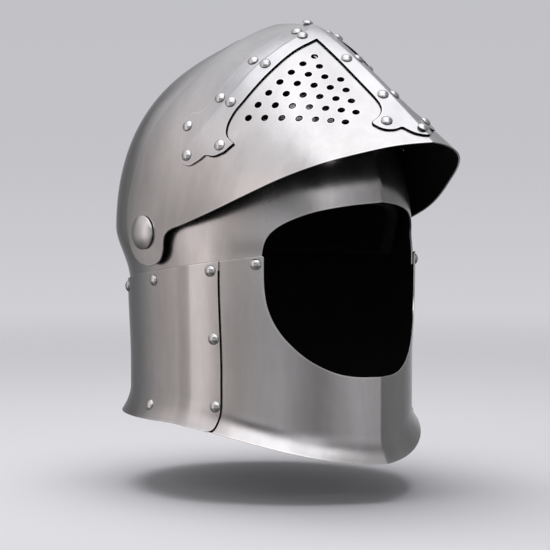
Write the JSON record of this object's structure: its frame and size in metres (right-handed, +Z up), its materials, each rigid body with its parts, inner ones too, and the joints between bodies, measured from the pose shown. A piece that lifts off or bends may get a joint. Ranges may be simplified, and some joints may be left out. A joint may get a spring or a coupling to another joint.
{
  "type": "knight helmet",
  "caption": "Plain steel closed helmet with a keeled skull, flared neck plates and a raised pierced visor turning on two round side pivots.",
  "frame": {"origin": "middle of the neck opening at the level of the lowest point of the rim, in the helmet's plane of symmetry", "axes": "+X to the wearer's left, -Y to the front where the face opening is, +Z up towards the crown"},
  "size_m": [0.2354, 0.299, 0.3203],
  "materials": {
    "plate_steel": "satin brushed plate with soft vertical bands and worn bright edges",
    "strap_steel": "satin brushed strip, slightly darker than the plates",
    "rivet_steel": "domed heads polished by handling",
    "liner_cloth": "matte black padding"
  },
  "bodies": {
    "helmet": {"skull": "plate_steel", "front_plate": "plate_steel", "rear_plate": "plate_steel", "liner": "liner_cloth", "pivot_bolt_right": "rivet_steel", "pivot_nut_right": "strap_steel", "pivot_bolt_left": "rivet_steel", "pivot_nut_left": "strap_steel", "plate_rivet_right_1": "rivet_steel", "plate_rivet_right_2": "rivet_steel", "plate_rivet_right_3": "rivet_steel", "plate_rivet_right_4": "rivet_steel", "plate_rivet_right_5": "rivet_steel", "plate_rivet_right_6": "rivet_steel", "plate_rivet_right_7": "rivet_steel", "plate_rivet_left_1": "rivet_steel", "plate_rivet_left_2": "rivet_steel", "plate_rivet_left_3": "rivet_steel", "plate_rivet_left_4": "rivet_steel", "plate_rivet_left_5": "rivet_steel", "plate_rivet_left_6": "rivet_steel", "plate_rivet_left_7": "rivet_steel"},
    "visor_unit": {"visor": "plate_steel", "visor_strap": "strap_steel", "strap_rivet_right_1": "rivet_steel", "strap_rivet_right_2": "rivet_steel", "strap_rivet_right_3": "rivet_steel", "strap_rivet_right_4": "rivet_steel", "strap_rivet_right_5": "rivet_steel", "strap_rivet_right_6": "rivet_steel", "strap_rivet_right_7": "rivet_steel", "strap_rivet_right_8": "rivet_steel", "strap_rivet_right_9": "rivet_steel", "spine_rivet_right_1": "rivet_steel", "spine_rivet_right_2": "rivet_steel", "spine_rivet_right_3": "rivet_steel", "strap_rivet_left_1": "rivet_steel", "strap_rivet_left_2": "rivet_steel", "strap_rivet_left_3": "rivet_steel", "strap_rivet_left_4": "rivet_steel", "strap_rivet_left_5": "rivet_steel", "strap_rivet_left_6": "rivet_steel", "strap_rivet_left_7": "rivet_steel", "strap_rivet_left_8": "rivet_steel", "strap_rivet_left_9": "rivet_steel", "spine_rivet_left_1": "rivet_steel", "spine_rivet_left_2": "rivet_steel", "spine_rivet_left_3": "rivet_steel", "apex_rivet": "rivet_steel", "tip_rivet": "rivet_steel"}
  },
  "joints": [
    {"name": "visor_hinge", "type": "hinge", "parent": "helmet", "child": "visor_unit", "pos_m": [0, 0.01, 0.1635], "axis": [1, 0, 0], "range_deg": [-20, 55]}
  ]
}
